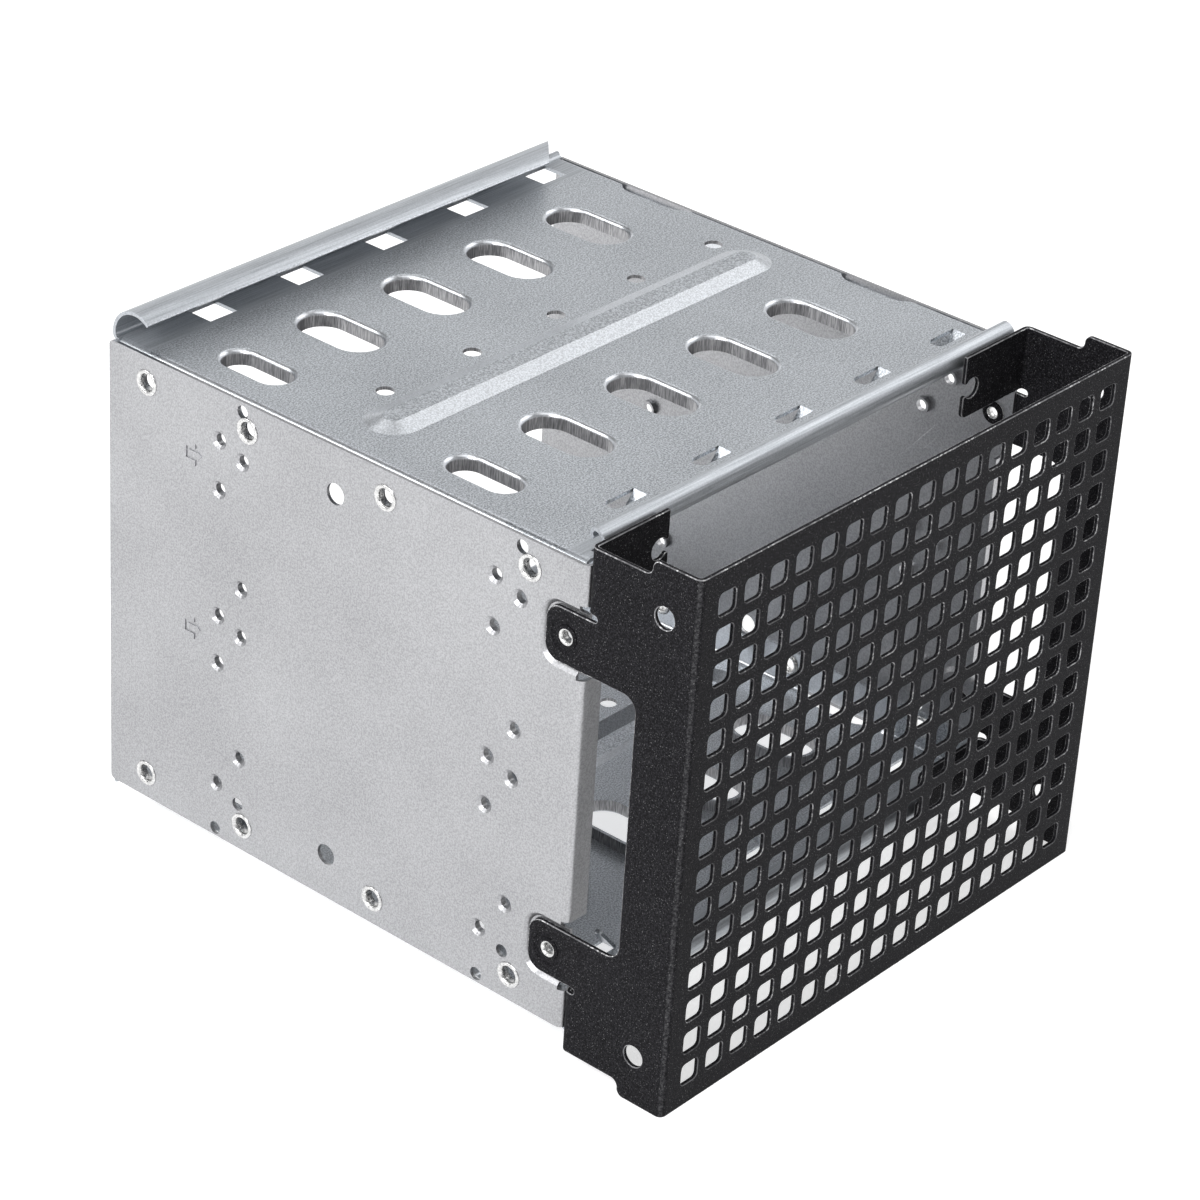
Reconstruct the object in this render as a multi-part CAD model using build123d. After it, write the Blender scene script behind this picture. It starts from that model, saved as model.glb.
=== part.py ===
from build123d import *
import os

# Drive cage for three stacked 5.25 inch bays with a grille bezel and a 120 mm fan space.
# Millimetres. The parts are drawn in a cage frame: x from the left panel's outer face,
# y from the panels' front edge towards the rear, z from the panels' bottom edge.

cage_width = 146.0
panel_depth = 137.6
cage_sheet = 0.8
bend_outer = 1.8
bend_inner = bend_outer - cage_sheet

bezel_sheet = 1.0
bezel_reach = 28.2
bezel_bend = 1.6

# Bay screw holes on the sides, repeated for as many bays as the height takes.
bay_pitch = 42.95
hole_edge_inset = 2.2
screw_span = 79.25
screw_pair = 11.93
set_a_front = 17.6
set_a_low = 11.3
set_b_front = 24.5
set_b_low = 2.0
plain_hole = 3.1
tapped_bore = 2.7
dimple_width = 4.2
dimple_depth = 0.6
collar_width = 3.9
collar_reach = 1.2
flange_relief = 0.5

# Hollow rivets.
rivet_rows = (15.3, 55.3, 95.4, 126.0)
rivet_inset = 6.3
rivet_bore = 3.8
rivet_shank = 4.7
rivet_clearance = 0.1
rivet_head = 6.2
rivet_head_thick = 0.35
rivet_curl = 5.8
rivet_curl_thick = 0.5
tab_rivet_head = 5.4

# Locating holes and arrow embossing on the sides.
locator_hole = 5.0
locator_y = 69.4
locator_inset = 11.05
arrow_y = 111.0
arrow_rows = (50.6, 93.5)
arrow_length = 5.6
arrow_line = 0.7
arrow_depth = 0.25

# Inward flange at the front edge of a side panel.
front_flange = 6.0
panel_corner = 1.2

# Bezel tabs and the recesses they lie in.
tab_height = 12.6
tab_reach = 10.4
tab_corner = 3.6
tab_clearance = 0.5
tab_rivet_y = 5.0
tab_counterbore = 7.8
tab_counterbore_depth = rivet_head_thick
relief_width = 1.6
relief_length = 1.8

# Top and bottom plates.
plate_proud = 0.4
side_flange = 10.3
flange_front = cage_sheet + bend_inner + 0.05
roll_front = 1.3
roll_radius = 2.8
roll_hem = 1.5
roll_turn_angle = 100.0
roll_end_angle = -60.0
roll_start_x = 6.0
roll_stop_inset = 2.5
curl_radius = 6.75
curl_end_angle = 130.0
curl_side_gap = 0.2
curl_slant_start = 3.8
curl_slant = 11.7
curl_slant_depth = 11.1

# Drive rows: each drive stands on edge between flanged slots.
drive_width = 101.6
drive_gap = 1.75
collar_drop = 2.8
drive_pitch = 27.2
first_drive = 11.7
last_drive_inset = 11.4
slot_rows = (40.2, 106.1)
slot_run = 10.2
slot_width = 11.4
slot_edge_radius = 1.2
edge_slot_width = 8.3
edge_slot_shift = 1.8
half_slot_grow = 0.4
small_hole = 4.2
small_hole_y = 79.7
square_hole_x = 8.0
square_hole_y = 7.0
square_hole_centre = 131.9
lance_length = 9.8
lance_width = 3.8
lance_y = 13.4
lance_shift = 0.8
lance_angle = 50.0
tongue_gap = 0.25
rib_start_x = 10.2
rib_end_inset = 7.5
rib_width = 12.8
rib_height = 1.4
rib_slope = 70.0
rib_y = 69.0

# Bezel grille, fan fixings and side cut-outs.
grille_pitch = 8.05
grille_margin = 5.0
grille_hole = 5.3
fan_spacing = 105.0
fan_notch = 4.8
fan_notch_mouth = 3.0
ear_past_notch = 2.8
ear_below_notch = 6.85
ear_above_notch = 8.15
ear_corner = 1.5
step_drop = 3.55
step_y = -15.9
step_radius = 1.7
window_front = -14.0
window_corner = 3.5
side_hole = 5.0
side_hole_y = -19.7

# The panels are as high as a drive on edge with its gaps and the slot collars.
panel_height = drive_width + 2 * (drive_gap + collar_drop + cage_sheet - plate_proud)
mid_height = panel_height / 2
bay_count = int((panel_height - hole_edge_inset - set_a_low - screw_pair) / bay_pitch) + 1
drive_count = int((cage_width - last_drive_inset - first_drive - drive_pitch / 2) / drive_pitch) + 1

# The bezel is as high as the fan fixings with the ears and steps around them.
bezel_height = fan_spacing + 2 * (ear_above_notch + step_drop)
notch_inset = (cage_width - fan_spacing) / 2
ear_reach = notch_inset + ear_past_notch
ear_low = mid_height + fan_spacing / 2 - ear_below_notch
ear_high = mid_height + fan_spacing / 2 + ear_above_notch
tab_high = ear_low - relief_width - tab_height / 2
tab_centres = (panel_height - tab_high, tab_high)
grille_columns = int((cage_width - 2 * grille_margin - grille_hole) / grille_pitch) + 1
grille_rows = int((bezel_height - 2 * grille_margin - grille_hole) / grille_pitch) + 1

inner_face = cage_sheet
bezel_low = mid_height - bezel_height / 2
bezel_high = mid_height + bezel_height / 2
plate_top = panel_height + plate_proud
plate_bottom = plate_top - cage_sheet
rivet_hole = rivet_shank + rivet_clearance
small_columns = [first_drive + drive_pitch * (i + 0.5) for i in range(drive_count)]
side_plane = Plane.YZ
to_model = Location((-cage_width / 2, (bezel_reach - panel_depth) / 2, -bezel_low))


def block(x0, x1, y0, y1, z0, z1):
    return Pos((x0 + x1) / 2, (y0 + y1) / 2, (z0 + z1) / 2) * Box(x1 - x0, y1 - y0, z1 - z0)


def peg(y, z, width, x0, x1):
    """Cylinder along x."""
    sketch = side_plane.offset(x0) * Pos(y, z) * Circle(width / 2)
    return extrude(sketch, x1 - x0)


def upright_peg(x, y, width, z0, z1):
    return extrude(Plane.XY.offset(z0) * Pos(x, y) * Circle(width / 2), z1 - z0)


def long_edges(shape, direction, **place):
    """Straight edges along one axis whose other coordinates match."""
    found = []
    for edge in shape.edges().filter_by(direction):
        middle = edge.center()
        if all(abs(getattr(middle, key.upper()) - value) < 0.01 for key, value in place.items()):
            found.append(edge)
    return found


def arc_band(cy, cz, outer, inner, start, stop):
    """Part of a ring in the side plane, angles in degrees from the rear."""
    big = CenterArc((cy, cz), outer, start, stop - start)
    small = CenterArc((cy, cz), inner, start, stop - start)
    return make_face([big, small, Line(big @ 0, small @ 0), Line(big @ 1, small @ 1)])


def side_holes():
    """Positions of the bay screw holes as (y, z, tapped)."""
    holes = []
    for bay in range(bay_count):
        for front, low in ((set_a_front, set_a_low), (set_b_front, set_b_low)):
            for column in (front, front + screw_span):
                for step in (0, 1):
                    z = low + bay * bay_pitch + step * screw_pair
                    holes.append((column, z, is_tapped(front, bay, step)))
    return holes


def is_tapped(front, bay, step):
    """The topmost pair hole of set A and the lowest of both sets are plain."""
    if front == set_a_front:
        return not (bay == 0 and step == 0) and not (bay == bay_count - 1 and step == 1)
    return not (bay == 0 and step == 0)


def rivet_points():
    return [(y, z) for y in rivet_rows for z in (rivet_inset, panel_height - rivet_inset)]


def tab_shape(grow, centre_z):
    """Tab outline in the side plane, open towards the front."""
    reach = tab_reach + grow
    return Pos(0, centre_z) * RectangleRounded(
        2 * reach, tab_height + 2 * grow, tab_corner + grow)


def arrow_outline(z):
    """Outline arrow pointing to the front."""
    half = arrow_length / 2
    points = [(-half, 0), (0, half), (0, half / 2), (half, half / 2),
              (half, -half / 2), (0, -half / 2), (0, -half)]
    outer = make_face(Polyline(points, close=True))
    inner = offset(outer, -arrow_line, kind=Kind.INTERSECTION)
    return Pos(arrow_y, z) * (outer - inner)


def side_panel():
    panel = block(0, front_flange, 0, panel_depth, 0, panel_height)
    panel -= block(cage_sheet, front_flange + 1, cage_sheet, panel_depth + 1, -1, panel_height + 1)
    panel = fillet(long_edges(panel, Axis.Z, x=0, y=0), bend_outer)
    panel = fillet(long_edges(panel, Axis.Z, x=cage_sheet, y=cage_sheet), bend_inner)
    for z in (0, panel_height):
        panel = fillet(long_edges(panel, Axis.X, y=panel_depth, z=z), panel_corner)
        panel = fillet(long_edges(panel, Axis.Y, x=front_flange, z=z), cage_sheet / 2) \
            if long_edges(panel, Axis.Y, x=front_flange, z=z) else panel
    for z in tab_centres:
        panel = recess(panel, z)
    collars = []
    cuts = []
    for y, z, tapped in side_holes():
        if tapped:
            collars.append(peg(y, z, collar_width, cage_sheet / 2, cage_sheet + collar_reach))
            cuts.append(peg(y, z, tapped_bore, -1, cage_sheet + collar_reach + 1))
            dimple = side_plane * Pos(y, z) * Circle(dimple_width / 2)
            cuts.append(extrude(dimple, dimple_depth, taper=50))
        else:
            cuts.append(peg(y, z, plain_hole, -1, cage_sheet + 1))
    for y, z in rivet_points():
        cuts.append(peg(y, z, rivet_hole, -1, cage_sheet + 1))
    for z in (locator_inset, panel_height - locator_inset):
        cuts.append(peg(locator_y, z, locator_hole, -1, cage_sheet + 1))
    for z in arrow_rows:
        cuts.append(extrude(side_plane * arrow_outline(z), arrow_depth))
    panel = panel + collars
    panel = panel - cuts
    return panel


def recess(panel, z):
    """Set the sheet back by one bezel thickness where a tab lies on it."""
    mouth = tab_shape(tab_clearance + bezel_sheet, z)
    half = tab_height / 2 + tab_clearance + bezel_sheet + cage_sheet
    zone = block(-1, front_flange + 1, 0, 40, z - 30, z + 30)
    pad = extrude(side_plane.offset(cage_sheet) * mouth, bezel_sheet, taper=45) & zone
    pocket = extrude(side_plane * mouth, bezel_sheet, taper=45)
    panel -= block(cage_sheet, front_flange + 1, -1, cage_sheet + bend_inner, z - half, z + half)
    panel -= block(-1, cage_sheet, -1, bend_outer, z - half, z + half)
    floor = block(bezel_sheet, bezel_sheet + cage_sheet, 0, bend_outer + 1,
                  z - tab_height / 2 - tab_clearance, z + tab_height / 2 + tab_clearance)
    panel += pad
    panel -= pocket
    for side in (-1, 1):
        edge = z + side * half
        panel -= block(-1, bezel_sheet + cage_sheet + 1, -1, bend_outer,
                       min(edge, edge - side * relief_width), max(edge, edge - side * relief_width))
    panel += floor
    return panel - peg(tab_rivet_y, z, rivet_hole, -1, bezel_sheet + cage_sheet + 1)


def mirrored(part):
    return part.mirror(Plane.YZ.offset(cage_width / 2))


def upside_down(part):
    return part.mirror(Plane.XY.offset(mid_height))


def plate_body():
    low = plate_top - side_flange
    rear = panel_depth - bend_outer - 0.1
    body = block(inner_face, cage_width - inner_face, flange_front, rear, low, plate_top)
    body -= block(inner_face + cage_sheet, cage_width - inner_face - cage_sheet,
                  flange_front - 1, rear + 1, low - 1, plate_bottom)
    for x in (inner_face, cage_width - inner_face):
        body = fillet(long_edges(body, Axis.Y, x=x, z=plate_top), bend_outer)
    for x in (inner_face + cage_sheet, cage_width - inner_face - cage_sheet):
        body = fillet(long_edges(body, Axis.Y, x=x, z=plate_bottom), bend_inner)
    return body


def front_roll(body):
    centre_y = roll_radius + roll_front
    stop = cage_width - roll_stop_inset
    body -= block(roll_start_x - 1, stop + 1, 0, centre_y, plate_bottom - 1, plate_top + 1)
    body += block(roll_start_x - 1, stop + 1, centre_y - 0.01, centre_y, plate_bottom, plate_top)
    centre_z = plate_bottom + roll_radius
    band = arc_band(centre_y, centre_z, roll_radius, roll_radius - cage_sheet, roll_turn_angle, 270)
    turn = Vector(roll_radius - roll_hem, 0).rotate(Axis.Z, roll_turn_angle)
    hem = arc_band(centre_y + turn.X, centre_z + turn.Y, roll_hem, roll_hem - cage_sheet,
                   roll_end_angle, roll_turn_angle)
    for part in (band, hem):
        body += extrude(side_plane.offset(roll_start_x) * part, stop - roll_start_x)
    return body


def rear_curl(body, slant_right):
    start = inner_face + curl_side_gap
    length = cage_width - 2 * start
    centre_z = plate_bottom + bend_outer + 0.1
    bend_y = panel_depth - bend_outer - 0.1
    bend = arc_band(bend_y, centre_z, bend_outer + 0.1, bend_outer + 0.1 - cage_sheet, 270, 360)
    arc_y = panel_depth - curl_radius
    arc = arc_band(arc_y, centre_z, curl_radius, curl_radius - cage_sheet, 0, curl_end_angle)
    lower = extrude(side_plane.offset(start) * bend, length)
    upper = extrude(side_plane.offset(start) * arc, length)
    corner = panel_depth + 0.1
    end = cage_width - start - curl_slant_start
    wedge = make_face(Polyline([(end, corner), (end - curl_slant, corner - curl_slant_depth),
                                (end - curl_slant, corner - 30), (end + 15, corner - 30),
                                (end + 15, corner)], close=True))
    wedge = extrude(Plane.XY.offset(centre_z) * wedge, 20)
    if not slant_right:
        wedge = mirrored(wedge)
    return body + lower + (upper - wedge)


def slot_place(column):
    """Centre and width of a drive slot, the first one narrowed beside the left bend."""
    x = first_drive + column * drive_pitch
    if column == 0:
        return x + edge_slot_shift, edge_slot_width
    return x, slot_width


def slot_sketch(width, grow):
    return SlotOverall(slot_run + width + 2 * grow, width + 2 * grow, rotation=90)


def drive_slots(body):
    """Slots with rims turned inwards."""
    rims = []
    cuts = []
    for column in range(drive_count):
        x, width = slot_place(column)
        for y in slot_rows:
            hole = Pos(x, y) * slot_sketch(width, 0)
            rim = Pos(x, y) * slot_sketch(width, cage_sheet)
            rims.append(extrude(Plane.XY.offset(plate_bottom - collar_drop) * rim,
                                collar_drop + cage_sheet / 2))
            cuts.append(extrude(Plane.XY.offset(plate_bottom - collar_drop - 1) * hole,
                                collar_drop + cage_sheet + 2))
    body = body + rims
    body = body - cuts
    rim_edges = []
    for edge in body.edges():
        middle = edge.center()
        if abs(middle.Z - plate_top) < 0.01 and near_slot(edge):
            rim_edges.append(edge)
    return fillet(rim_edges, slot_edge_radius)


def near_slot(edge):
    box = edge.bounding_box()
    for column in range(drive_count):
        x, width = slot_place(column)
        for y in slot_rows:
            inside_x = x - width / 2 - 0.1 < box.min.X and box.max.X < x + width / 2 + 0.1
            half = (slot_run + width) / 2 + 0.1
            inside_y = y - half < box.min.Y and box.max.Y < y + half
            if inside_x and inside_y:
                return True
    return False


def edge_slots(body):
    """Plain slots of the next column, cut off by the right side."""
    x = first_drive + drive_count * drive_pitch
    for y in slot_rows:
        cut = Pos(x, y) * slot_sketch(slot_width, half_slot_grow)
        body -= extrude(Plane.XY.offset(plate_top - bend_outer) * cut, bend_outer + 1)
    return body


def stiffening_rib(body):
    """Raised bead across the plate, hollow below."""
    stop = cage_width - rib_end_inset
    outline = Pos((rib_start_x + stop) / 2, rib_y) * SlotOverall(stop - rib_start_x, rib_width)
    bead = extrude(Plane.XY.offset(plate_top) * outline, rib_height, taper=rib_slope)
    hollow = extrude(Plane.XY.offset(plate_bottom) * outline, rib_height, taper=rib_slope)
    return body + bead - hollow


def plate_openings(body):
    cuts = []
    for x in small_columns:
        cuts.append(upright_peg(x, small_hole_y, small_hole, plate_bottom - 1, plate_top + 1))
        cuts.append(block(x - square_hole_x / 2, x + square_hole_x / 2,
                          square_hole_centre - square_hole_y / 2, square_hole_centre + square_hole_y / 2,
                          plate_bottom - 1, plate_top + 1))
        hinge = Pos(x + lance_shift + lance_length / 2, lance_y, plate_bottom - 1)
        cuts.append(hinge * extrude(tongue_sketch(lance_length, lance_width), cage_sheet + 2))
    body = body - cuts
    tongues = []
    for x in small_columns:
        hinge = Location((x + lance_shift + lance_length / 2, lance_y, plate_top), (0, -lance_angle, 0))
        sketch = tongue_sketch(lance_length - tongue_gap, lance_width - 2 * tongue_gap)
        tongues.append(extrude(sketch, -cage_sheet).moved(hinge))
    return body + tongues


def tongue_sketch(length, width):
    """Tongue outline reaching left from its hinge line, with a round end."""
    outline = Pos(-length / 2, 0) * Rectangle(length, width)
    ends = [v for v in outline.vertices() if v.X < -length / 2]
    return fillet(ends, width / 2 - 0.05)


def flange_holes(body):
    """Rivet holes and clearances where the side panels' holes meet the flanges."""
    cuts = []
    reach = cage_width + 1
    for y, z in rivet_points():
        cuts.append(peg(y, z, rivet_hole, -1, reach))
    for y, z, tapped in side_holes():
        if tapped:
            width = collar_width + 2 * flange_relief
        else:
            width = plain_hole + 2 * flange_relief
        if z > plate_top - side_flange - width / 2:
            cuts.append(peg(y, z, width, -1, bend_outer + 1))
            cuts.append(peg(y, z, width, cage_width - bend_outer - 1, reach))
    z = panel_height - locator_inset
    cuts.append(peg(locator_y, z, locator_hole + 2 * flange_relief, -1, reach))
    return body - cuts


def cage_plate(slant_right):
    body = plate_body()
    body = front_roll(body)
    body = rear_curl(body, slant_right)
    body = drive_slots(body)
    body = edge_slots(body)
    body = stiffening_rib(body)
    body = plate_openings(body)
    return body


def top_plate():
    return flange_holes(cage_plate(True))


def bottom_plate():
    """The top plate turned over, with clearances for the lower side holes."""
    turned = upside_down(cage_plate(False))
    cuts = []
    for y, z in rivet_points():
        cuts.append(peg(y, z, rivet_hole, -1, cage_width + 1))
    low_edge = side_flange - plate_proud
    for y, z, tapped in side_holes():
        width = (collar_width if tapped else plain_hole) + 2 * flange_relief
        if z < low_edge + width / 2:
            cuts.append(peg(y, z, width, -1, bend_outer + 1))
            cuts.append(peg(y, z, width, cage_width - bend_outer - 1, cage_width + 1))
    cuts.append(peg(locator_y, locator_inset, locator_hole + 2 * flange_relief, -1, cage_width + 1))
    return turned - cuts


def bezel_outline():
    """Side view of the bezel without its tabs."""
    high = bezel_high
    shoulder = ear_high
    low_shoulder = panel_height - shoulder
    points = [(-bezel_reach, bezel_low), (-bezel_reach, high), (step_y, high), (step_y, shoulder),
              (-bezel_sheet, shoulder), (-bezel_sheet, low_shoulder), (step_y, low_shoulder),
              (step_y, bezel_low)]
    face = make_face(Polyline(points, close=True))
    corners = [v for v in face.vertices() if abs(v.X - step_y) < 0.01]
    face = fillet(corners, step_radius)
    window_height = tab_centres[1] - tab_centres[0] - tab_height
    window = Pos((window_front + 10) / 2 + 5, mid_height) * RectangleRounded(
        20 - window_front, window_height, window_corner)
    return face - window


def bezel_ear(z0, z1, corner_z):
    """Fan ear lying on the panel's front flange, with a notch open to the middle."""
    face = Pos(ear_reach / 2, (z0 + z1) / 2) * Rectangle(ear_reach, z1 - z0)
    corner = [v for v in face.vertices() if abs(v.X - ear_reach) < 0.01 and abs(v.Y - corner_z) < 0.01]
    face = fillet(corner, ear_corner)
    notch_x = notch_inset
    side = 1 if (z0 + z1) / 2 > mid_height else -1
    notch_z = mid_height + side * fan_spacing / 2
    face -= Pos(notch_x, notch_z) * Circle(fan_notch / 2)
    face -= Pos((notch_x + ear_reach + 1) / 2, notch_z) * Rectangle(
        ear_reach + 1 - notch_x, fan_notch_mouth)
    lips = [v for v in face.vertices()
            if abs(v.X - ear_reach) < 0.01 and abs(abs(v.Y - notch_z) - fan_notch_mouth / 2) < 0.01]
    face = fillet(lips, bezel_sheet / 2)
    return extrude(Plane.XZ * face, bezel_sheet)


def bezel_half(shell):
    """Add the left tabs and ears."""
    upper = (ear_low, ear_high, ear_low)
    lower = (panel_height - ear_high, panel_height - ear_low, panel_height - ear_low)
    for z0, z1, corner_z in (upper, lower):
        ear = bezel_ear(z0, z1, corner_z)
        shell += ear
    for z in tab_centres:
        tab = extrude(side_plane * tab_shape(0, z), bezel_sheet)
        shell += tab & block(-1, 3, -3, 40, z - 20, z + 20)
    return shell


def front_bezel():
    shell = block(0, cage_width, -bezel_reach, -bezel_sheet, bezel_low, bezel_high)
    shell -= block(bezel_sheet, cage_width - bezel_sheet, -bezel_reach + bezel_sheet, 5,
                   bezel_low - 1, bezel_high + 1)
    outline = extrude(side_plane.offset(-1) * bezel_outline(), cage_width + 2)
    shell = shell & outline
    for x in (0, cage_width):
        shell = fillet(long_edges(shell, Axis.Z, x=x, y=-bezel_reach), bezel_bend)
    for x in (bezel_sheet, cage_width - bezel_sheet):
        shell = fillet(long_edges(shell, Axis.Z, x=x, y=-bezel_reach + bezel_sheet),
                       bezel_bend - bezel_sheet)
    shell = bezel_half(shell)
    shell = mirrored(bezel_half(mirrored(shell)))
    shell = shell - bezel_cuts()
    shell = round_ear_bends(shell)
    return shell - grille_holes()


def round_ear_bends(shell):
    for x in (0, cage_width):
        shell = fillet(long_edges(shell, Axis.Z, x=x, y=0), bezel_bend)
    for x in (bezel_sheet, cage_width - bezel_sheet):
        shell = fillet(long_edges(shell, Axis.Z, x=x, y=-bezel_sheet), bezel_bend - bezel_sheet)
    return shell


def bezel_cuts():
    cuts = []
    for side in (-1, 1):
        z = mid_height + side * fan_spacing / 2
        cuts.append(peg(side_hole_y, z, side_hole, -1, cage_width + 1))
        gap = mid_height + side * (ear_low - mid_height - relief_width / 2)
        for x0, x1 in ((-1, bezel_bend + 1), (cage_width - bezel_bend - 1, cage_width + 1)):
            cuts.append(block(x0, x1, -bezel_sheet - relief_length + relief_width / 2, 1,
                              gap - relief_width / 2, gap + relief_width / 2))
            cuts.append(peg(-bezel_sheet - relief_length + relief_width / 2, gap, relief_width, x0, x1))
    for z in tab_centres:
        cuts.append(peg(tab_rivet_y, z, rivet_hole, -1, cage_width + 1))
        cuts.append(peg(tab_rivet_y, z, tab_counterbore, -1, tab_counterbore_depth))
        cuts.append(peg(tab_rivet_y, z, tab_counterbore,
                        cage_width - tab_counterbore_depth, cage_width + 1))
    return cuts


def grille_holes():
    plane = Plane.XZ.offset(bezel_reach + 1)
    grid = GridLocations(grille_pitch, grille_pitch, grille_columns, grille_rows)
    squares = Sketch() + [place * Rectangle(grille_hole, grille_hole) for place in grid]
    return extrude(plane * Pos(cage_width / 2, mid_height) * squares, -(bezel_sheet + 2))


def rivet(y, z, start, grip, head):
    """Hollow rivet along x with its head at the outer face."""
    bore = rivet_bore / 2
    shank = rivet_shank / 2
    points = [(bore, grip + rivet_curl_thick), (rivet_curl / 2, grip + rivet_curl_thick),
              (rivet_curl / 2, grip), (shank, grip), (shank, 0), (head / 2, 0),
              (head / 2 - rivet_head_thick / 2, -rivet_head_thick),
              (bore + rivet_head_thick, -rivet_head_thick), (bore, 0.1)]
    profile = make_face(Polyline(points, close=True))
    body = revolve(Plane.XZ * profile, Axis.Z, 360)
    return body.moved(Location((start, y, z), (0, 90, 0)))


def panel_rivets(z):
    return [rivet(y, z, 0, 2 * cage_sheet, rivet_head) for y in rivet_rows]


def tab_rivets():
    grip = bezel_sheet + cage_sheet - tab_counterbore_depth
    return [rivet(tab_rivet_y, z, tab_counterbore_depth, grip, tab_rivet_head) for z in tab_centres]


def save(part, name):
    if isinstance(part, list):
        part = Compound(part)
    part = part.moved(to_model)
    export_step(part, "parts/" + name + ".step")
    box = part.bounding_box()
    print(name, [round(v, 2) for v in (*box.min, *box.max)], round(part.volume, 1))


os.makedirs("parts", exist_ok=True)
left_panel = side_panel()
save(left_panel, "left_side_panel")
save(mirrored(left_panel), "right_side_panel")
save(top_plate(), "top_plate")
save(bottom_plate(), "bottom_plate")
save(front_bezel(), "front_bezel")
high_seam = panel_height - rivet_inset
for label, height in (("upper", high_seam), ("lower", rivet_inset)):
    row = panel_rivets(height)
    save(row, "left_" + label + "_rivets")
    save([mirrored(item) for item in row], "right_" + label + "_rivets")
pair = tab_rivets()
save(pair, "left_bezel_rivets")
save([mirrored(item) for item in pair], "right_bezel_rivets")
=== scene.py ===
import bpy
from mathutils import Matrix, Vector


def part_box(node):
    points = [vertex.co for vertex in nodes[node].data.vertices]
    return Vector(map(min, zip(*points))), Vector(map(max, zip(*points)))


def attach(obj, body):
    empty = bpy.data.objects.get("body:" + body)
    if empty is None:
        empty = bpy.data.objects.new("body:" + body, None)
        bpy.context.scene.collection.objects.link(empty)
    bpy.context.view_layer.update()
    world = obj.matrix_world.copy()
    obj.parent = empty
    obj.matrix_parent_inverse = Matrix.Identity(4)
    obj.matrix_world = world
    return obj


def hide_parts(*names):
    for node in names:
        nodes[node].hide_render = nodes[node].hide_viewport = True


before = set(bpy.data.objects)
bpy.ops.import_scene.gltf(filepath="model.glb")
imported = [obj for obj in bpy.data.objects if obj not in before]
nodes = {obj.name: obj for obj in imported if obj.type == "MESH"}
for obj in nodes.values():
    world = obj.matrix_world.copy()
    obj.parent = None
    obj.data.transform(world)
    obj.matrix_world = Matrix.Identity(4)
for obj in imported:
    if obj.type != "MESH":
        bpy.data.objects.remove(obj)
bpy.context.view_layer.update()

import bmesh
import bpy
import math
from mathutils import Matrix, Vector

millimetre = 0.001


def mm(x, y, z):
    return Vector((x, y, z)) * millimetre


def plug(tree, place, value):
    if isinstance(value, Sock):
        tree.links.new(value.end, place)
    else:
        place.default_value = value


class Sock:
    # one output of a node; sums written with it add Math nodes

    def __init__(self, tree, end):
        self.tree = tree
        self.end = end

    def maths(self, operation, *values):
        node = self.tree.nodes.new("ShaderNodeMath")
        node.operation = operation
        for place, value in zip(node.inputs, values):
            plug(self.tree, place, value)
        return Sock(self.tree, node.outputs[0])

    def __add__(self, other):
        return self.maths("ADD", self, other)

    def __radd__(self, other):
        return self.maths("ADD", other, self)

    def __sub__(self, other):
        return self.maths("SUBTRACT", self, other)

    def __rsub__(self, other):
        return self.maths("SUBTRACT", other, self)

    def __mul__(self, other):
        return self.maths("MULTIPLY", self, other)

    def __rmul__(self, other):
        return self.maths("MULTIPLY", other, self)

    def __abs__(self):
        return self.maths("ABSOLUTE", self)


class Board:
    # a node tree that is filled one node at a time

    def __init__(self, tree):
        self.tree = tree
        tree.nodes.clear()

    def add(self, kind, settings=None, ends=None, out=0):
        node = self.tree.nodes.new(kind)
        for name, value in (settings or {}).items():
            if name == "stops":
                ramp = node.color_ramp.elements
                while len(ramp) < len(value):
                    ramp.new(0.5)
                for element, (place, colour) in zip(ramp, value):
                    element.position = place
                    element.color = colour
            else:
                setattr(node, name, value)
        for name, value in (ends or {}).items():
            plug(self.tree, node.inputs[name], value)
        return Sock(self.tree, node.outputs[out]) if node.outputs else node

    def axes(self, where):
        split = self.tree.nodes.new("ShaderNodeSeparateXYZ")
        plug(self.tree, split.inputs[0], where)
        return [Sock(self.tree, end) for end in split.outputs]

    def noise(self, where, perMm, detail=2.0, roughness=0.5):
        return self.add("ShaderNodeTexNoise", {}, {
            "Vector": where, "Scale": perMm, "Detail": detail, "Roughness": roughness})

    def stretch(self, where, x, y, z):
        return self.add("ShaderNodeVectorMath", {"operation": "MULTIPLY"}, {
            0: where, 1: (x, y, z)})

    def ease(self, value, low, high):
        return self.add("ShaderNodeMapRange", {"interpolation_type": "SMOOTHSTEP"}, {
            "Value": value, "From Min": low, "From Max": high})

    def mixColour(self, factor, first, second):
        return self.add("ShaderNodeMix", {"data_type": "RGBA"}, {
            0: factor, 6: first, 7: second}, 2)

    def joined(self, *shapes):
        join = self.tree.nodes.new("GeometryNodeJoinGeometry")
        for shape in shapes:
            plug(self.tree, join.inputs[0], shape)
        return Sock(self.tree, join.outputs[0])


def startFinish(name):
    # board.place is the object's own place in millimetres
    material = bpy.data.materials.new(name)
    material.use_nodes = True
    board = Board(material.node_tree)
    board.metres = board.add("ShaderNodeTexCoord", out="Object")
    board.place = board.stretch(board.metres, 1000, 1000, 1000)
    return material, board


def endFinish(board, fixed, varying):
    shader = board.tree.nodes.new("ShaderNodeBsdfPrincipled")
    for name, value in fixed.items():
        shader.inputs[name].default_value = value
    for name, value in varying.items():
        plug(board.tree, shader.inputs[name], value)
    output = board.tree.nodes.new("ShaderNodeOutputMaterial")
    board.tree.links.new(shader.outputs[0], output.inputs["Surface"])


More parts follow.
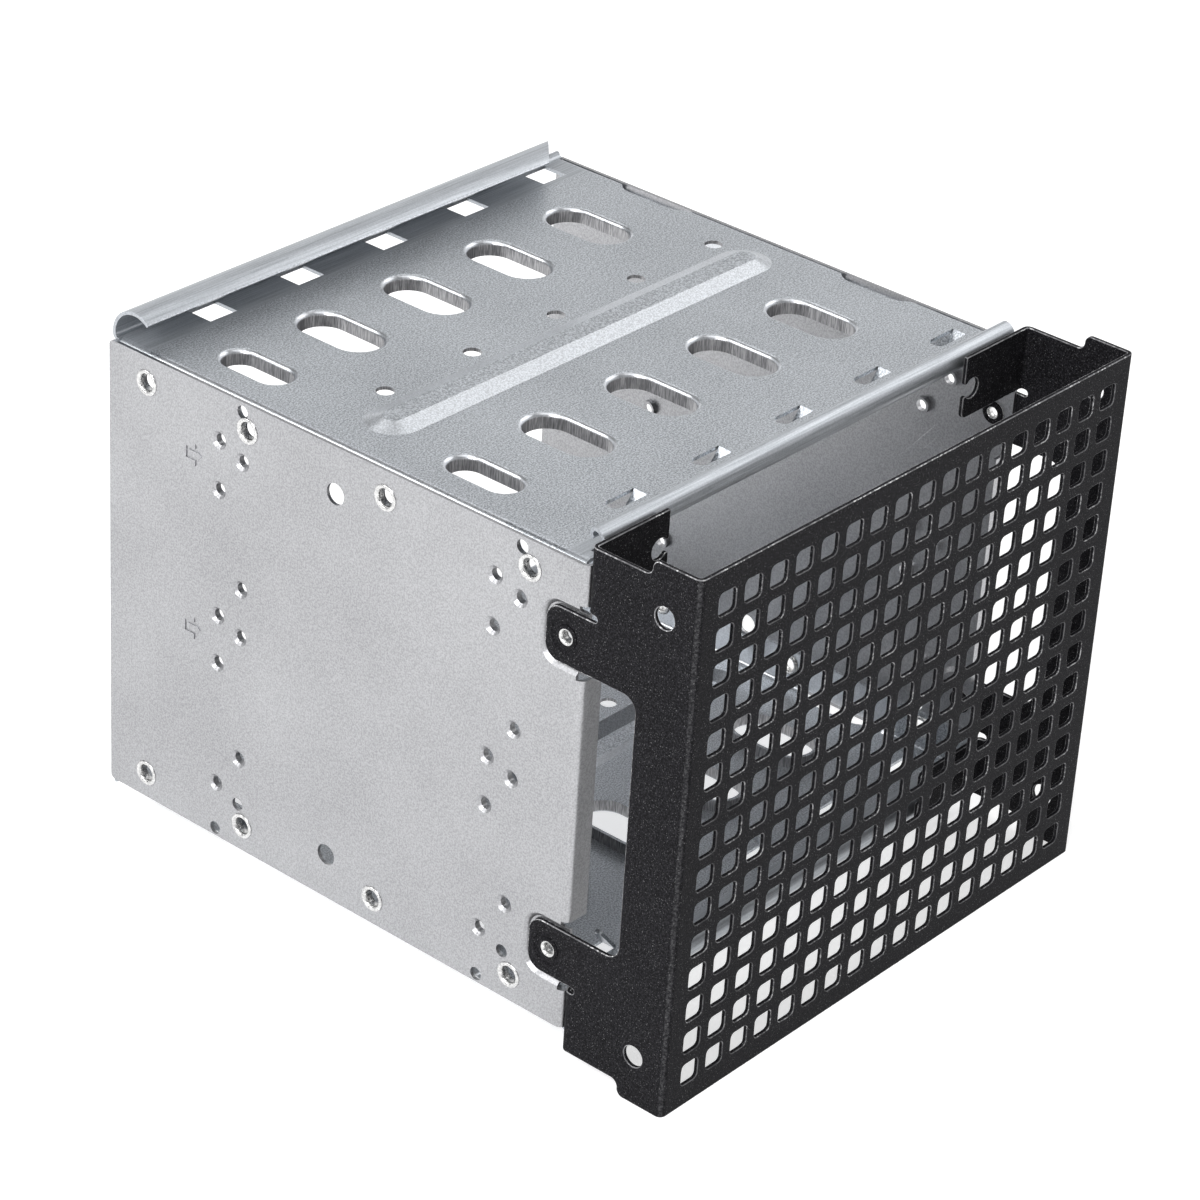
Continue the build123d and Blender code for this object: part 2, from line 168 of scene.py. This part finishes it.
# places are in millimetres, and a band is the pair of values that a mask runs between
# in plateSteel the rim colour is partly a polished finish and partly a painted highlight, and the wall
# colours are darker as painted shade
plateSteelLook = {
    "dark": (0.215, 0.23, 0.25, 1), "light": (0.665, 0.695, 0.73, 1), "rim": (0.80, 0.82, 0.85, 1),
    "wallDark": (0.17, 0.17, 0.18, 1), "wallLight": (0.48, 0.48, 0.49, 1),
    "grainPerMm": 2.6, "cloudPerMm": 0.035, "grainBand": (0.40, 0.60), "grainShare": 0.70,
    "roughness": 0.36, "grainDepth": 0.95, "metal": 0.68,
    "wallTilt": (0.55, 0.2), "wallStretch": (3.2, 3.2, 0.30), "wallBand": (0.30, 0.75),
    "formedTilt": (0.985, 0.90), "rimPolishAndHighlightShare": 0.6,
    "rollStretch": (0.05, 2.6, 2.6), "rollBand": (0.30, 0.70), "rollTone": (0.26, 0.40),
    "rollShare": 0.8, "rollMetal": 0.5,
    "slotFront": -32.0, "slotRear": 70.0, "slotFade": 2.0,
    "rollFront": -47.5, "rollRear": 71.5, "rollFade": 1.0, "flangeX": 69.5}

panelSteelLook = {
    "dark": (0.25, 0.25, 0.26, 1), "light": (0.555, 0.56, 0.575, 1),
    "scratch": (0.40, 0.40, 0.41, 1),
    "grainPerMm": 2.4, "cloudPerMm": 0.025, "grainBand": (0.33, 0.67), "grainShare": 0.50,
    "roughness": 0.36, "grainDepth": 0.75,
    "scratchTurn": 0.9, "scratchStretch": (1.0, 0.05, 2.2), "scratchPerMm": 0.8,
    "scratchBand": (0.70, 0.74), "scratchShare": 0.35, "patchPerMm": 0.06, "patchBand": (0.55, 0.62)}

rivetSteelLook = {
    "dark": (0.52, 0.52, 0.52, 1), "light": (0.80, 0.80, 0.79, 1), "roughness": 0.28,
    "grainPerMm": 2.0, "grainBand": (0.3, 0.7), "turnedStretch": (6.0, 1.2, 1.2), "turnedDepth": 0.25}

powderCoatLook = {
    "black": (0.0036, 0.0036, 0.0042, 1), "charcoal": (0.025, 0.0245, 0.028, 1),
    "edgeGrey": (0.26, 0.26, 0.27, 1), "speck": (0.75, 0.75, 0.76, 1),
    "grainPerMm": 2.4, "grainBand": (0.42, 0.66), "grainShare": 0.8, "peelPerMm": 0.9,
    "cloudPerMm": 0.05, "roughness": 0.52, "grainDepth": 0.6, "grainReach": 0.00010, "gloss": 0.04,
    "speckPerMm": 3.4, "speckBand": (0.67, 0.73), "speckShare": 0.16,
    "rubbedPerMm": 1.6, "rubbedBand": (0.44, 0.60), "rubbedTone": (0.03, 0.13),
    "foldX": 72.0, "foldY": -82.2, "foldFade": 0.5}

coatWear = {
    "thinPerMm": 0.5, "thinBand": (0.35, 0.65), "thinTone": (0.35, 0.5),
    "chipPerMm": 1.3, "chipBand": (0.52, 0.58), "chipShare": 0.85,
    "patchPerMm": 0.05, "patchBand": (0.42, 0.56), "grilleShare": 0.5,
    "grilleHalf": (69.0, 61.0), "grilleMiddle": 64.2, "grilleFade": 0.5,
    "grilleBack": -81.5, "grilleBackFade": 0.2}


def grainAndCloud(board, look):
    grain = board.noise(board.place, look["grainPerMm"], 3.0, 0.65)
    cloud = board.noise(board.place, look["cloudPerMm"], 3.0, 0.55)
    return grain, cloud


def bumped(board, height, depth, reach=0.00006):
    return board.add("ShaderNodeBump", {}, {"Height": height, "Strength": depth, "Distance": reach})


def makePlateSteel():
    # flat sheet, pressed edges, drawn slot walls and the two rolls
    look = plateSteelLook
    material, board = startFinish("plateSteel")
    grain, cloud = grainAndCloud(board, look)
    x, y, _ = board.axes(board.place)
    level = abs(board.axes(board.add("ShaderNodeTexCoord", out="Normal"))[2])
    front, rear, fade = look["slotFront"], look["slotRear"], look["slotFade"]
    betweenRolls = board.ease(y, front, front + fade) * board.ease(y, rear, rear - fade)
    clearOfFlanges = board.ease(abs(x), look["flangeX"], look["flangeX"] - 1)
    wall = board.ease(level, *look["wallTilt"]) * betweenRolls * clearOfFlanges
    formed = board.ease(level, *look["formedTilt"]) * (1 - wall)
    front, rear, fade = look["rollFront"], look["rollRear"], look["rollFade"]
    rolls = board.ease(y, front + fade, front) + board.ease(y, rear, rear + fade)
    drawn = board.noise(board.stretch(board.place, *look["wallStretch"]), 1.0, 3.0, 0.6)
    along = board.noise(board.stretch(board.place, *look["rollStretch"]), 1.0, 3.0, 0.6)
    share = look["grainShare"]
    tone = board.ease(grain, *look["grainBand"]) * share + cloud * (1 - share)
    colour = board.mixColour(tone, look["dark"], look["light"])
    start, reach = look["rollTone"]
    streaks = board.ease(along, *look["rollBand"]) * reach + start
    rolled = board.mixColour(streaks, look["dark"], look["light"])
    # the drawn streaks on the slot walls are real, and their darker tone is painted shade inside the
    # slots
    walled = board.mixColour(board.ease(drawn, *look["wallBand"]), look["wallDark"], look["wallLight"])
    # tilted pressed surfaces between the rolls (slot rims, bends, the rib's slopes) turn lighter:
    # partly a smoother drawn finish, partly a painted highlight
    colour = board.mixColour(formed * betweenRolls * look["rimPolishAndHighlightShare"], colour, look["rim"])
    colour = board.mixColour(rolls * look["rollShare"], colour, rolled)
    colour = board.mixColour(wall, colour, walled)
    rough = look["roughness"] + (cloud - 0.5) * 0.10 + (grain - 0.5) * 0.16
    rough = rough + rolls * (0.10 - along * 0.12) - formed * 0.05
    height = grain * (0.6 - formed * 0.5) + drawn * wall * 0.4 + along * rolls * 0.2
    metal = look["metal"] + formed * (1 - rolls * look["rollMetal"]) * (1 - look["metal"])
    endFinish(board, {}, {
        "Metallic": metal, "Base Color": colour, "Roughness": rough,
        "Normal": bumped(board, height, look["grainDepth"])})
    return material


def makePanelSteel():
    look = panelSteelLook
    material, board = startFinish("panelSteel")
    grain, cloud = grainAndCloud(board, look)
    turned = board.add("ShaderNodeVectorRotate", {"rotation_type": "X_AXIS"}, {
        "Vector": board.place, "Angle": look["scratchTurn"]})
    lines = board.noise(board.stretch(turned, *look["scratchStretch"]), look["scratchPerMm"], 1.0, 0.4)
    patch = board.noise(board.place, look["patchPerMm"], 1.0, 0.4)
    scratch = board.ease(lines, *look["scratchBand"]) * board.ease(patch, *look["patchBand"])
    share = look["grainShare"]
    tone = board.ease(grain, *look["grainBand"]) * share + cloud * (1 - share)
    colour = board.mixColour(tone, look["dark"], look["light"])
    colour = board.mixColour(scratch * look["scratchShare"], colour, look["scratch"])
    rough = look["roughness"] + (cloud - 0.5) * 0.12 + (grain - 0.5) * 0.14
    height = grain * 0.6 - scratch * 0.5
    endFinish(board, {"Metallic": 1.0}, {
        "Base Color": colour, "Roughness": rough,
        "Normal": bumped(board, height, look["grainDepth"])})
    return material


def makeRivetSteel():
    look = rivetSteelLook
    material, board = startFinish("rivetSteel")
    grain = board.noise(board.place, look["grainPerMm"], 2.0, 0.6)
    turned = board.noise(board.stretch(board.place, *look["turnedStretch"]), 1.0, 2.0, 0.5)
    colour = board.mixColour(board.ease(grain, *look["grainBand"]), look["dark"], look["light"])
    rough = look["roughness"] + (grain - 0.5) * 0.2
    endFinish(board, {"Metallic": 1.0}, {
        "Base Color": colour, "Roughness": rough,
        "Normal": bumped(board, turned, look["turnedDepth"])})
    return material


def cornerMask(board):
    # the two upright folds beside the grille, where the coat is rubbed
    look = powderCoatLook
    x, y, _ = board.axes(board.place)
    sideways = board.ease(abs(x), look["foldX"], look["foldX"] + look["foldFade"])
    forward = board.ease(y, look["foldY"] + look["foldFade"], look["foldY"])
    return sideways * forward


def grilleMask(board):
    # the rims of the grille's holes, which keep more of their coat than the outer edges
    look = coatWear
    x, y, z = board.axes(board.place)
    (halfX, halfZ), fade = look["grilleHalf"], look["grilleFade"]
    sideways = board.ease(abs(x), halfX, halfX - fade)
    upward = board.ease(abs(z - look["grilleMiddle"]), halfZ, halfZ - fade)
    forward = board.ease(y, look["grilleBack"], look["grilleBack"] - look["grilleBackFade"])
    return sideways * upward * forward


def wearDown(board, colour):
    # thinned coat along an edge, with chips in some stretches
    look = coatWear
    thin = board.ease(board.noise(board.place, look["thinPerMm"], 2.0, 0.6), *look["thinBand"])
    bare = 1 - grilleMask(board) * look["grilleShare"]
    start, reach = look["thinTone"]
    colour = board.mixColour((start + thin * reach) * bare, colour, powderCoatLook["edgeGrey"])
    chips = board.ease(board.noise(board.place, look["chipPerMm"], 3.0, 0.7), *look["chipBand"])
    patches = board.ease(board.noise(board.place, look["patchPerMm"], 2.0, 0.6), *look["patchBand"])
    return board.mixColour(chips * patches * bare * look["chipShare"], colour, powderCoatLook["speck"])


def makePowderCoat(name, worn):
    look = powderCoatLook
    material, board = startFinish(name)
    grain = board.noise(board.place, look["grainPerMm"], 4.0, 0.7)
    orangePeel = board.noise(board.place, look["peelPerMm"], 2.0, 0.5)
    cloud = board.noise(board.place, look["cloudPerMm"], 2.0, 0.5)
    share = look["grainShare"]
    tone = board.ease(grain, *look["grainBand"]) * share + cloud * (1 - share)
    colour = board.mixColour(tone, look["black"], look["charcoal"])
    # light specks in the coat: a painted sparkle of glints
    specks = board.ease(board.noise(board.place, look["speckPerMm"], 1.0, 0.5), *look["speckBand"])
    colour = board.mixColour(specks * look["speckShare"], colour, look["speck"])
    rubbed = board.ease(board.noise(board.place, look["rubbedPerMm"], 2.0, 0.6), *look["rubbedBand"])
    start, reach = look["rubbedTone"]
    colour = board.mixColour(cornerMask(board) * (start + rubbed * reach), colour, look["edgeGrey"])
    if worn:
        colour = wearDown(board, colour)
    rough = look["roughness"] + (grain - 0.5) * 0.30 + (cloud - 0.5) * 0.08
    height = grain * 0.7 + orangePeel * 0.5
    endFinish(board, {"Metallic": 0.0, "Specular IOR Level": look["gloss"]}, {
        "Base Color": colour, "Roughness": rough,
        "Normal": bumped(board, height, look["grainDepth"], look["grainReach"])})
    return material


plateSteel = makePlateSteel()
panelSteel = makePanelSteel()
rivetSteel = makeRivetSteel()
powderCoat = makePowderCoat("powderCoat", False)
wornCoatEdge = makePowderCoat("wornCoatEdge", True)
print("finishes made")

sheetFinishes = {
    "top_plate": plateSteel, "bottom_plate": plateSteel,
    "left_side_panel": panelSteel, "right_side_panel": panelSteel}
for nodeName, finish in sheetFinishes.items():
    for materialSlot in nodes[nodeName].material_slots:
        materialSlot.material = finish


def keepMesh(mesh, name):
    piece = bpy.data.objects.new(name, mesh)
    bpy.context.scene.collection.objects.link(piece)
    return piece


def settle(piece):
    # the evaluated shape becomes the piece's plain mesh
    bpy.context.view_layer.update()
    graph = bpy.context.evaluated_depsgraph_get()
    mesh = bpy.data.meshes.new_from_object(piece.evaluated_get(graph))
    piece.modifiers.clear()
    piece.data = mesh
    return piece


def growTree(name, given):
    # one named input for each value given, and one for the finish
    tree = bpy.data.node_groups.new(name, "GeometryNodeTree")
    board = Board(tree)
    tree.interface.new_socket("Geometry", in_out="INPUT", socket_type="NodeSocketGeometry")
    kinds = {int: "NodeSocketInt", float: "NodeSocketFloat", bpy.types.Object: "NodeSocketObject"}
    for label, value in given.items():
        kind = kinds[type(value)]
        tree.interface.new_socket(label, in_out="INPUT", socket_type=kind)
    tree.interface.new_socket("Finish", in_out="INPUT", socket_type="NodeSocketMaterial")
    tree.interface.new_socket("Geometry", in_out="OUTPUT", socket_type="NodeSocketGeometry")
    entry = tree.nodes.new("NodeGroupInput")
    board.given = {item.name: Sock(tree, item) for item in entry.outputs if item.name}
    return tree, board


def closeTree(board, shape):
    whole = board.add("GeometryNodeRealizeInstances", {}, {"Geometry": shape})
    dressed = board.add("GeometryNodeSetMaterial", {}, {
        "Geometry": whole, "Material": board.given["Finish"]})
    leave = board.tree.nodes.new("NodeGroupOutput")
    plug(board.tree, leave.inputs["Geometry"], dressed)


def applyTree(piece, tree, given, finish):
    modifier = piece.modifiers.new(tree.name, "NODES")
    modifier.node_group = tree
    wanted = dict(given, Finish=finish)
    for item in tree.interface.items_tree:
        if item.in_out == "INPUT" and item.name in wanted:
            modifier[item.identifier] = wanted[item.name]
    return settle(piece)


# zeroY and zeroZ place the cage's own zero in the shared frame, and tabRows counts from that zero
cage = {"halfWidth": 73.0, "height": 111.5, "zeroY": -54.7, "zeroZ": 8.45}
tabRows = {"y": 5.0, "centres": (18.0, 93.5), "sunk": 0.35}

# lengths in millimetres, angles in degrees
bezel = {
    "width": 146.0, "height": 128.4, "sheet": 1.0, "bend": 1.6,
    "columns": 17, "rows": 15, "pitch": 8.05, "hole": 5.3, "holeCorner": 1.15, "cornerSteps": 4,
    "edgeRounding": 0.18, "roundingSteps": 2, "sharpAngle": 50, "flatAngle": 0.5, "levelWeight": 80,
    "coveredRim": 4.3, "weld": 0.002, "slack": 0.01}


def makeGrilleTree(numbers):
    tree, board = growTree("grilleSheet", numbers)
    given = board.given
    outline = board.add("GeometryNodeCurvePrimitiveQuadrilateral", {}, {
        "Width": given["Width"], "Height": given["Height"]})
    square = board.add("GeometryNodeCurvePrimitiveQuadrilateral", {}, {
        "Width": given["Hole"], "Height": given["Hole"]})
    hole = board.add("GeometryNodeFilletCurve", {"mode": "POLY"}, {
        "Curve": square, "Count": given["Corner Steps"], "Radius": given["Hole Corner"]})
    spread = board.add("GeometryNodeMeshGrid", {}, {
        "Size X": (given["Columns"] - 1) * given["Pitch"],
        "Size Y": (given["Rows"] - 1) * given["Pitch"],
        "Vertices X": given["Columns"], "Vertices Y": given["Rows"]})
    holes = board.add("GeometryNodeInstanceOnPoints", {}, {"Points": spread, "Instance": hole})
    holes = board.add("GeometryNodeRealizeInstances", {}, {"Geometry": holes})
    front = board.add("GeometryNodeFillCurve", {"mode": "TRIANGLES"}, {
        "Curve": board.joined(holes, outline)})
    back = board.add("GeometryNodeExtrudeMesh", {"mode": "FACES"}, {
        "Mesh": front, "Offset Scale": 0 - given["Sheet"], "Individual": False})
    whole = board.add("GeometryNodeMergeByDistance", {}, {
        "Geometry": board.joined(back, front), "Distance": bezel["weld"] * millimetre})
    closeTree(board, whole)
    return tree


def makeGrille():
    # the flat perforated sheet, stood up at the bezel's front
    look = bezel
    numbers = {
        "Width": (look["width"] - 2 * look["bend"]) * millimetre, "Height": look["height"] * millimetre,
        "Sheet": look["sheet"] * millimetre, "Columns": look["columns"], "Rows": look["rows"],
        "Pitch": look["pitch"] * millimetre, "Hole": look["hole"] * millimetre,
        "Hole Corner": look["holeCorner"] * millimetre, "Corner Steps": look["cornerSteps"]}
    grille = keepMesh(bpy.data.meshes.new("grille"), "grille")
    applyTree(grille, makeGrilleTree(numbers), numbers, powderCoat)
    low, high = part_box("front_bezel")
    middle = Vector(((low.x + high.x) / 2, low.y, (low.z + high.z) / 2))
    grille.data.transform(Matrix.Translation(middle) @ Matrix.Rotation(math.pi / 2, 4, "X"))
    print("grille sheet made,", len(grille.data.polygons), "faces")
    openSides(grille.data, (look["width"] / 2 - look["bend"] - look["slack"]) * millimetre)
    return grille


def openSides(mesh, edgeX):
    # the sheet's two narrow side faces go, where the bends join it
    sheet = bmesh.new()
    sheet.from_mesh(mesh)
    closing = [face for face in sheet.faces if all(v.co.x > edgeX for v in face.verts)
               or all(v.co.x < -edgeX for v in face.verts)]
    bmesh.ops.delete(sheet, geom=closing, context="FACES")
    sheet.to_mesh(mesh)
    sheet.free()


def bezelWithoutFront():
    # a merged copy of the solid's mesh, less its flat front
    look = bezel
    weld, slack = look["weld"] * millimetre, look["slack"] * millimetre
    shape = bmesh.new()
    shape.from_mesh(nodes["front_bezel"].data)
    bmesh.ops.remove_doubles(shape, verts=shape.verts, dist=weld)
    low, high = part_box("front_bezel")
    inset = look["bend"] * millimetre - slack
    deep = low.y + look["sheet"] * millimetre + slack
    flat = [face for face in shape.faces if all(
        v.co.y < deep and low.x + inset < v.co.x < high.x - inset for v in face.verts)]
    bmesh.ops.delete(shape, geom=flat, context="FACES")
    return shape


def roundEdges(piece):
    look = bezel
    rounding = piece.modifiers.new("edgeRounding", "BEVEL")
    rounding.width = look["edgeRounding"] * millimetre
    rounding.segments = look["roundingSteps"]
    rounding.limit_method = "ANGLE"
    rounding.angle_limit = math.radians(look["sharpAngle"])
    rounding.use_clamp_overlap = False
    rounding.harden_normals = False
    rounding.material = 1  # the worn edge
    level = piece.modifiers.new("flatFaces", "WEIGHTED_NORMAL")
    level.keep_sharp = True
    level.weight = look["levelWeight"]
    settle(piece)


def makeBezel():
    grille = makeGrille()
    shape = bezelWithoutFront()
    shape.from_mesh(grille.data)
    bpy.data.objects.remove(grille)
    bmesh.ops.remove_doubles(shape, verts=shape.verts, dist=bezel["slack"] * millimetre)
    bmesh.ops.dissolve_limit(
        shape, angle_limit=math.radians(bezel["flatAngle"]), verts=shape.verts, edges=shape.edges)
    bmesh.ops.recalc_face_normals(shape, faces=shape.faces)
    loose = [edge for edge in shape.edges if len(edge.link_faces) != 2]
    print("bezel faces", len(shape.faces), "edges not shared by two faces", len(loose))
    mesh = bpy.data.meshes.new("bezelSheet")
    shape.to_mesh(mesh)
    shape.free()
    mesh.materials.append(powderCoat)
    mesh.materials.append(wornCoatEdge)
    for face in mesh.polygons:
        face.use_smooth = True
        face.material_index = 0
    piece = keepMesh(mesh, "bezelSheet")
    roundEdges(piece)
    unwearCounterbores(piece)
    print("bezel sheet rounded", len(piece.data.polygons))
    return piece


def unwearCounterbores(piece):
    # the rims round the sunk tab rivets keep their coat
    reach = bezel["coveredRim"]
    for face in piece.data.polygons:
        y = face.center.y / millimetre - cage["zeroY"]
        z = face.center.z / millimetre - cage["zeroZ"]
        if face.material_index == 1 and any(
                math.dist((y, z), (tabRows["y"], tabZ)) < reach for tabZ in tabRows["centres"]):
            face.material_index = 0


bezelSheet = makeBezel()
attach(bezelSheet, "root")
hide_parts("front_bezel")


# diameters and lengths in millimetres; the pairs below are (radius, depth), added to what they name
rivetShape = {
    "bore": 3.8, "head": 6.2, "grip": 1.6, "tabBore": 2.4, "tabHead": 5.4, "tabGrip": 1.45,
    "curl": 5.8, "shank": 4.7, "steps": 40,
    "fromBore": ((0.0, 0.55), (0.06, 0.20), (0.18, -0.08), (0.40, -0.28), (0.62, -0.35)),
    "fromHead": ((-0.32, -0.32), (-0.12, -0.20), (0.0, 0.0)),
    "fromCurl": ((0.0, 0.0), (-0.05, 0.28), (-0.25, 0.5)),
    "innerEnd": ((0.25, 0.5), (0.0, 0.3)),
    "coatedBeyond": 1.95, "coatedTilt": 0.2}

rivetRows = {"rows": (15.3, 55.3, 95.4, 126.0), "inset": 6.3}


def rivetProfile(bore, head, grip):
    look = rivetShape
    bore, rim, curl, shank = bore / 2, head / 2, look["curl"] / 2, look["shank"] / 2
    profile = [(bore + r, x) for r, x in look["fromBore"]]
    profile += [(rim + r, x) for r, x in look["fromHead"]]
    profile += [(shank, 0.0), (shank, grip)]
    profile += [(curl + r, grip + x) for r, x in look["fromCurl"]]
    profile += [(bore + r, grip + x) for r, x in look["innerEnd"]]
    return profile


def rivetModel(name, bore, head, grip):
    # a closed profile turned about x; the panel's outer face is at zero and the head towards minus x
    profile = rivetProfile(bore, head, grip)
    steps = rivetShape["steps"]
    shape = bmesh.new()
    rings = []
    for step in range(steps):
        angle = 2 * math.pi * step / steps
        rings.append([shape.verts.new(mm(x, r * math.cos(angle), r * math.sin(angle)))
                      for r, x in profile])
    for step in range(steps):
        near, far = rings[step], rings[(step + 1) % steps]
        for item in range(len(profile)):
            after = (item + 1) % len(profile)
            shape.faces.new((near[item], near[after], far[after], far[item]))
    bmesh.ops.recalc_face_normals(shape, faces=shape.faces)
    for face in shape.faces:
        face.smooth = True
    mesh = bpy.data.meshes.new(name)
    shape.to_mesh(mesh)
    shape.free()
    return keepMesh(mesh, name)


def makeRivetRowTree(model):
    tree, board = growTree("rivetRow", {"Turn": 0.0, "Rivet": model})
    pick = board.add("GeometryNodeObjectInfo", {"transform_space": "ORIGINAL"}, {
        "Object": board.given["Rivet"]}, "Geometry")
    turn = board.add("ShaderNodeCombineXYZ", {}, {"Z": board.given["Turn"]})
    row = board.add("GeometryNodeInstanceOnPoints", {}, {
        "Points": board.given["Geometry"], "Instance": pick, "Rotation": turn})
    closeTree(board, row)
    return tree


panelRivet = rivetModel("panelRivet", rivetShape["bore"], rivetShape["head"], rivetShape["grip"])
tabRivet = rivetModel("tabRivet", rivetShape["tabBore"], rivetShape["tabHead"], rivetShape["tabGrip"])
rivetRowTree = makeRivetRowTree(panelRivet)


def rivetPoints(name, model, places, right):
    mesh = bpy.data.meshes.new(name)
    mesh.from_pydata([mm(*place) for place in places], [], [])
    piece = keepMesh(mesh, name)
    applyTree(piece, rivetRowTree, {"Turn": math.pi if right else 0.0, "Rivet": model}, rivetSteel)
    piece.data.materials.clear()  # the instances bring an empty slot of their own
    piece.data.materials.append(rivetSteel)
    for face in piece.data.polygons:
        face.material_index = 0
    return piece


def inFrame(right, y, z, sunk=0.0):
    # a place on the cage's side, in the shared frame
    x = cage["halfWidth"] - sunk
    return (x if right else -x, y + cage["zeroY"], z + cage["zeroZ"])


def makeRivets():
    for right in (False, True):
        side = "right" if right else "left"
        inset = rivetRows["inset"]
        for label, z in (("upper", cage["height"] - inset), ("lower", inset)):
            places = [inFrame(right, y, z) for y in rivetRows["rows"]]
            piece = rivetPoints(side + label.title() + "Rivets", panelRivet, places, right)
            finishRivets(piece, side + "_" + label + "_rivets")
        places = [inFrame(right, tabRows["y"], z, tabRows["sunk"]) for z in tabRows["centres"]]
        piece = rivetPoints(side + "BezelRivets", tabRivet, places, right)
        coatHeads(piece, places)
        finishRivets(piece, side + "_bezel_rivets")


def coatHeads(piece, places):
    # the coat covers the outer ring of a tab rivet and leaves its flared bore bright
    piece.data.materials.append(powderCoat)
    reach = rivetShape["coatedBeyond"] * millimetre
    for face in piece.data.polygons:
        radii = [math.dist(face.center[1:], mm(*place)[1:]) for place in places]
        if min(radii) > reach and abs(face.normal.x) > rivetShape["coatedTilt"]:
            face.material_index = 1


def finishRivets(piece, node):
    for face in piece.data.polygons:
        face.use_smooth = True
    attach(piece, "root")
    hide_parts(node)
    low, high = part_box(node)
    places = [v.co for v in piece.data.vertices]
    drift = [(min(p[i] for p in places) - low[i]) / millimetre for i in range(3)]
    drift += [(max(p[i] for p in places) - high[i]) / millimetre for i in range(3)]
    print(node, "against its solid, mm", [round(value, 2) for value in drift])


makeRivets()
bpy.data.objects.remove(panelRivet)
bpy.data.objects.remove(tabRivet)
print("rivets made")


room = {
    "floorSize": 12.0, "floorColour": (0.62, 0.62, 0.62, 1), "floorLight": (0.66, 0.66, 0.66, 1),
    "driftPerMetre": 0.8, "floorGlow": 0.58, "floorRoughness": 0.8, "floorGloss": 0.2,
    "worldColour": (0.99, 0.99, 1.0, 1), "worldStrength": 0.22, "horizonStrength": 0.95,
    "horizonTop": 0.50, "horizonFull": 0.16}

middle, foot = (0.0, 0.0, 0.08), (0.0, 0.0, 0.05)
softLights = {
    "overhead": {"place": (-0.25, -0.30, 1.30), "aim": foot, "size": (1.0, 1.0), "power": 3.8},
    "leftSide": {"place": (-0.94, 0.77, 0.88), "aim": middle, "size": (0.55, 0.55), "power": 4.4},
    "leftFront": {"place": (-1.25, -0.30, 1.00), "aim": middle, "size": (0.8, 0.8), "power": 18.0},
    "rightSide": {"place": (1.035, -0.297, 0.97), "aim": middle, "size": (1.2, 0.75), "power": 5.4},
    "rearOver": {"place": (0.52, 0.56, 1.27), "aim": middle, "size": (1.0, 0.34), "power": 2.5},
    "behind": {"place": (1.15, 1.05, 0.74), "aim": middle, "size": (1.2, 0.8), "power": 1.0}}

# the camera solved on the photo: place and lens in millimetres, angles in degrees
viewpoint = {
    "place": (-617.3, -503.4, 515.85), "turnZ": -50.70, "tiltX": 60.26, "rollZ": 3.65,
    "lens": 123.3, "sensor": 36.0, "nearest": 0.01, "farthest": 50.0}


def makeFloor():
    half = room["floorSize"] / 2
    corners = [(-half, -half, 0), (half, -half, 0), (half, half, 0), (-half, half, 0)]
    mesh = bpy.data.meshes.new("floor")
    mesh.from_pydata(corners, [], [(0, 1, 2, 3)])
    floor = keepMesh(mesh, "floor")
    material, board = startFinish("paleFloor")
    drift = board.noise(board.metres, room["driftPerMetre"], 1.0, 0.4)
    colour = board.mixColour(drift, room["floorColour"], room["floorLight"])
    endFinish(board, {
        "Roughness": room["floorRoughness"], "Specular IOR Level": room["floorGloss"],
        "Emission Color": (1, 1, 1, 1), "Emission Strength": room["floorGlow"]}, {"Base Color": colour})
    mesh.materials.append(material)


def makeWorld():
    # soft light from all round, stronger near the horizon
    world = bpy.data.worlds.new("softRoom")
    world.use_nodes = True
    board = Board(world.node_tree)
    height = board.axes(board.add("ShaderNodeTexCoord", out="Generated"))[2]
    band = board.ease(height, room["horizonTop"], room["horizonFull"])
    gain = room["horizonStrength"] - room["worldStrength"]
    sky = board.add("ShaderNodeBackground", {}, {
        "Color": room["worldColour"], "Strength": room["worldStrength"] + band * gain})
    output = board.tree.nodes.new("ShaderNodeOutputWorld")
    plug(board.tree, output.inputs["Surface"], sky)
    bpy.context.scene.world = world
    bpy.context.scene.view_settings.view_transform = "Standard"


def makeLights():
    for name, look in softLights.items():
        light = bpy.data.lights.new(name, "AREA")
        light.shape = "RECTANGLE"
        light.size, light.size_y = look["size"]
        light.energy = look["power"]
        lamp = bpy.data.objects.new(name, light)
        bpy.context.scene.collection.objects.link(lamp)
        lamp.location = look["place"]
        towards = Vector(look["aim"]) - Vector(look["place"])
        lamp.rotation_euler = towards.to_track_quat("-Z", "Y").to_euler()


def makeCamera():
    camera = bpy.data.cameras.new("camera")
    camera.sensor_width = viewpoint["sensor"]
    camera.lens = viewpoint["lens"]
    camera.clip_start = viewpoint["nearest"]
    camera.clip_end = viewpoint["farthest"]
    seat = bpy.data.objects.new("camera", camera)
    bpy.context.scene.collection.objects.link(seat)
    turn = Matrix.Rotation(math.radians(viewpoint["turnZ"]), 4, "Z")
    tilt = Matrix.Rotation(math.radians(viewpoint["tiltX"]), 4, "X")
    roll = Matrix.Rotation(math.radians(viewpoint["rollZ"]), 4, "Z")
    seat.matrix_world = Matrix.Translation(mm(*viewpoint["place"])) @ turn @ tilt @ roll
    bpy.context.scene.camera = seat


makeFloor()
makeWorld()
makeLights()
makeCamera()
print("room, lights and camera set")
